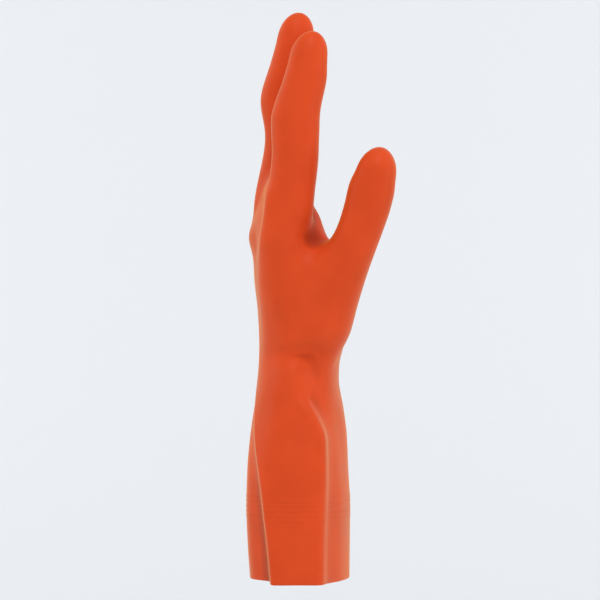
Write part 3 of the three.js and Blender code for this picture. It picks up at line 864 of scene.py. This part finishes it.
def make_mesh(name, place, faces):
    """A mesh object from places in millimetres and faces of four corners, or of three where the last one
    repeats the first. Also gives the numbers of the places that it uses."""
    used, number = np.unique(faces, return_inverse=True)
    faces = number.reshape(-1, 4)
    is_fan = faces[:, 0] == faces[:, 3]
    corner_of = np.concatenate([faces[~is_fan].ravel(), faces[is_fan, :3].ravel()])
    sizes = np.where(np.sort(is_fan), 3, 4)
    mesh = bpy.data.meshes.new(name)
    mesh.vertices.add(len(used))
    mesh.vertices.foreach_set("co", (place[used] * MM).astype(np.float32).ravel())
    mesh.loops.add(len(corner_of))
    mesh.loops.foreach_set("vertex_index", corner_of.astype(np.int32))
    mesh.polygons.add(len(faces))
    mesh.polygons.foreach_set("loop_start", (np.cumsum(sizes) - sizes).astype(np.int32))
    mesh.update(calc_edges=True)
    mesh.validate()
    mesh.polygons.foreach_set("use_smooth", np.ones(len(faces), bool))
    piece = bpy.data.objects.new(name, mesh)
    bpy.context.scene.collection.objects.link(piece)
    return piece, used


glove, used = make_mesh("dipped_glove", all_places, all_faces)
subdivision = glove.modifiers.new("fine", "SUBSURF")
subdivision.levels = subdivision.render_levels = 1
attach(glove, "root")
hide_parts("glove_skin")

# %% [markdown]
# ## Painted shade in the hollows, and pale crests
# Liquid rubber runs into the hollows of the former and thins out over its edges. So the skin is paler along
# the crests. Between the fingers and in the creases the colour is made much deeper: a little of that is the
# pooled rubber, and the rest is painted shade, dark colour put where the shadow of a hollow falls. The
# finish needs to know where those places are. A painted mask could say so, but the shape itself says it
# too: a hollow is where a point lies under the mean of its surroundings. That height goes into an attribute
# of the mesh.

# %% How hollow each place is, and which skin it is on
SPREAD_ROUNDS = 24
around = plain.copy()
for _ in range(SPREAD_ROUNDS):
    around += 0.5 * (neighbour_mean(around, edges) - around)
hollow_height = np.einsum("ij,ij->i", around - plain, normal) * used_outside
marks = {
    "hollow": np.tile(hollow_height, 2)[used],
    "inside": np.repeat([0.0, 1.0], len(plain))[used],
}
for name, values in marks.items():
    glove.data.attributes.new(name, "FLOAT", "POINT").data.foreach_set("value", values.astype(np.float32))
print("hollows in mm, deepest and highest:", hollow_height.max().round(2), hollow_height.min().round(2))

# %% [markdown]
# ## Dipped rubber
# The finish is orange rubber from a dip: not moulded against steel, so it has no grain and no gloss, only
# what the draining liquid left. A real one shows a soft satin with a waxy haze at grazing angles, where a
# bloom of wax lies on the skin. A Principled shader gives the satin with a low specular level and the haze
# with a yellowish sheen. Noise gives the cloudy colour, the drain streaks and the faint orange peel.


# %% Colours and a node helper
def linear(hex_colour):
    """sRGB as written in hex to linear light, with alpha 1."""
    parts = [int(hex_colour[i : i + 2], 16) / 255 for i in (1, 3, 5)]
    return tuple(c / 12.92 if c <= 0.04045 else ((c + 0.055) / 1.055) ** 2.4 for c in parts) + (1.0,)


def node(tree, kind, settings=None, values=None, links=None):
    """Adds one node: settings are its own properties, values its sockets' and links what feeds them.
    A socket is named, or numbered where two have the same name."""
    made = tree.nodes.new(kind)
    for name, value in (settings or {}).items():
        setattr(made, name, value)
    for name, value in (values or {}).items():
        made.inputs[name].default_value = value
    for name, source in (links or {}).items():
        tree.links.new(source, made.inputs[name])
    return made


# %% Patterns, each with a scale from a real size
CLOUD_MM = 22.0  # cloudy patches of the dip
STREAK_MM = 7.0  # drain streaks, which run along the hand
STREAK_LONG = 8.0  # a streak is so many times as long as it is wide
PEEL_MM = 2.4  # orange peel is about 1 mm on a real glove, and drawn coarser so that it shows
PEEL_HEIGHT_MM = 0.02
INSIDE_ROUGHER = 0.2  # the inside dries against the former and stays duller

rubber = bpy.data.materials.new("dipped_rubber")
rubber.use_nodes = True
tree = rubber.node_tree
tree.nodes.clear()
place_on_glove = node(tree, "ShaderNodeTexCoord").outputs["Object"]


def noise(scale_mm, detail, source):
    """Soft noise whose features are about scale_mm across."""
    values = {"Scale": 1 / (scale_mm * MM), "Detail": detail, "Roughness": 0.55}
    return node(tree, "ShaderNodeTexNoise", values=values, links={"Vector": source}).outputs["Fac"]


def between(low, high, source, to_low=0.0, to_high=1.0):
    """A value's share of the way from low to high, as a share of the way from to_low to to_high."""
    values = {"From Min": low, "From Max": high, "To Min": to_low, "To Max": to_high}
    return node(tree, "ShaderNodeMapRange", values=values, links={"Value": source}).outputs["Result"]


def blend(share, first, second):
    """Mixes two colours, each a hex value or the output of a node. Of the Mix node's many sockets, 6 and 7
    are the two colours, and output 2 is the mixed one."""
    mixed = node(tree, "ShaderNodeMix", settings={"data_type": "RGBA"}, links={0: share})
    for socket, colour in ((6, first), (7, second)):
        if isinstance(colour, str):
            mixed.inputs[socket].default_value = linear(colour)
        else:
            tree.links.new(colour, mixed.inputs[socket])
    return mixed.outputs[2]


cloud = noise(CLOUD_MM, 2.0, place_on_glove)
drawn_out = {"Scale": (1.0, 1.0, 1 / STREAK_LONG)}
along_hand = node(tree, "ShaderNodeMapping", values=drawn_out, links={"Vector": place_on_glove})
streak = noise(STREAK_MM, 1.0, along_hand.outputs["Vector"])
peel = noise(PEEL_MM, 1.0, place_on_glove)
# the hollow attribute: high in hollows, where it steers the painted shade, and low on the crests
painted_shade_and_crest_mask = node(tree, "ShaderNodeAttribute", settings={"attribute_name": "hollow"}).outputs["Fac"]
inside_mark = node(tree, "ShaderNodeAttribute", settings={"attribute_name": "inside"}).outputs["Fac"]

# %% Colour: clouds and streaks, painted shade in the hollows, paler on the crests and inside
colour = blend(between(0.35, 0.65, cloud), "#D94A1F", "#E24E21")
colour = blend(between(0.4, 0.7, streak, 0.0, 0.35), colour, "#DB4B23")
# painted shade: hollows and creases are darkened towards #A82C06, a little for pooled rubber, mostly for
# their shadow
colour = blend(between(0.2, 1.5, painted_shade_and_crest_mask, 0.0, 0.9), colour, "#A82C06")
colour = blend(between(-1.6, -3.4, painted_shade_and_crest_mask, 0.0, 0.25), colour, "#E65A30")
colour = blend(between(0.0, 1.0, inside_mark, 0.0, 0.6), colour, "#D9603C")

# %% Sheen of the surface and its relief
rough_by_cloud = between(0.3, 0.7, cloud, 0.35, 0.43)
roughness = node(
    tree,
    "ShaderNodeMath",
    settings={"operation": "MULTIPLY_ADD"},
    values={1: INSIDE_ROUGHER},
    links={0: inside_mark, 2: rough_by_cloud},
).outputs["Value"]
peel_depth = {"Strength": 1.0, "Distance": PEEL_HEIGHT_MM * MM}
peel_bump = node(tree, "ShaderNodeBump", values=peel_depth, links={"Height": peel})
surface = node(
    tree,
    "ShaderNodeBsdfPrincipled",
    values={
        "IOR": 1.5,
        "Specular IOR Level": 0.1,
        "Sheen Weight": 0.6,
        "Sheen Roughness": 0.38,
        "Sheen Tint": linear("#DCB058"),
    },
    links={"Base Color": colour, "Roughness": roughness, "Normal": peel_bump.outputs["Normal"]},
)
node(tree, "ShaderNodeOutputMaterial", links={"Surface": surface.outputs["BSDF"]})
glove.data.materials.append(rubber)
print("nodes in the rubber:", len(tree.nodes))

# %% [markdown]
# ## Studio
# The photo has a bright, even studio with hardly a shadow. A floor of pale, matt paper turns up into a
# backdrop in one bend, so no corner shows. Most of the light comes from the bright world, a large lamp in
# front adds the satin, two strips at the sides brighten the edges, and two lamps light the backdrop. A
# long lens stands level with the middle of the glove.

# %% Floor, lights and camera
scene = bpy.context.scene
FLOOR_Z = -0.12
FLOOR_NEAR, FLOOR_FAR, WALL_TOP, HALF_WIDTH = -4.0, 1.0, 5.0, 5.0
BEND_RADIUS = 1.2
bend = np.radians(np.arange(0, 91, 9))
bend_y = FLOOR_FAR + BEND_RADIUS * np.sin(bend)
bend_z = FLOOR_Z + BEND_RADIUS - BEND_RADIUS * np.cos(bend)
profile_y = np.concatenate([[FLOOR_NEAR, -1.0, 0.6], bend_y, [FLOOR_FAR + BEND_RADIUS]])
profile_z = np.concatenate([[FLOOR_Z] * 3, bend_z, [WALL_TOP]])
n = len(profile_y)
floor_x = np.tile(np.linspace(-HALF_WIDTH, HALF_WIDTH, 3), (n, 1))
grid = np.stack([floor_x, np.tile(profile_y, (3, 1)).T, np.tile(profile_z, (3, 1)).T], axis=2)
ids = np.arange(n * 3).reshape(n, 3)
quads = np.stack([ids[:-1, :-1], ids[:-1, 1:], ids[1:, 1:], ids[1:, :-1]], axis=-1).reshape(-1, 4)
floor_mesh = bpy.data.meshes.new("studio_floor")
floor_mesh.from_pydata(grid.reshape(-1, 3).tolist(), [], quads.tolist())
floor_mesh.polygons.foreach_set("use_smooth", np.ones(len(floor_mesh.polygons), bool))
floor = bpy.data.objects.new("studio_floor", floor_mesh)
scene.collection.objects.link(floor)
paper = bpy.data.materials.new("pale_paper")
paper.use_nodes = True
paper.node_tree.nodes["Principled BSDF"].inputs["Base Color"].default_value = linear("#E9ECF1")
paper.node_tree.nodes["Principled BSDF"].inputs["Roughness"].default_value = 0.9
floor_mesh.materials.append(paper)


def area_light(name, place, aim, size, watts):
    """A soft white rectangular lamp at a place, turned towards a point."""
    data = bpy.data.lights.new(name, "AREA")
    data.shape = "RECTANGLE"
    data.size, data.size_y = size
    data.energy = watts
    lamp = bpy.data.objects.new(name, data)
    lamp.location = place
    x, y, z = np.array(place) - np.array(aim)
    lamp.rotation_euler = (math.atan2(math.hypot(x, y), z), 0, math.atan2(x, -y))
    scene.collection.objects.link(lamp)


area_light("front_key", (0.05, -1.4, 1.8), (0, 0, 0.15), (1.1, 1.1), 15)
area_light("left_strip", (-1.3, 0.1, 0.5), (0, 0, 0.15), (0.6, 1.4), 3.0)
area_light("right_strip", (1.2, -0.5, 0.5), (0, 0, 0.15), (0.6, 1.4), 3.5)
area_light("backdrop_left", (-1.3, 0.9, 0.9), (0.2, 2.2, 0.4), (0.8, 0.8), 5.5)
area_light("backdrop_right", (1.3, 0.9, 0.9), (-0.2, 2.2, 0.4), (0.8, 0.8), 5.5)
world = bpy.data.worlds.new("soft_room")
world.use_nodes = True
world.node_tree.nodes["Background"].inputs["Color"].default_value = linear("#F6F5F2")
world.node_tree.nodes["Background"].inputs["Strength"].default_value = 0.68
scene.world = world
scene.view_settings.view_transform = "Standard"

# the photo is 600 pixels wide, and a pixel is 0.566 mm at the middle of the glove
CAMERA_BACK, CAMERA_Z = 1.75, 0.1568
FIELD_WIDTH = 600 * 0.566 * MM
SENSOR_MM = 36
camera_data = bpy.data.cameras.new("camera")
camera_data.sensor_width = SENSOR_MM
camera_data.lens = SENSOR_MM * CAMERA_BACK / FIELD_WIDTH
camera = bpy.data.objects.new("camera", camera_data)
camera.location = (0, -CAMERA_BACK, CAMERA_Z)
camera.rotation_euler = (math.radians(90), 0, 0)
scene.collection.objects.link(camera)
scene.camera = camera
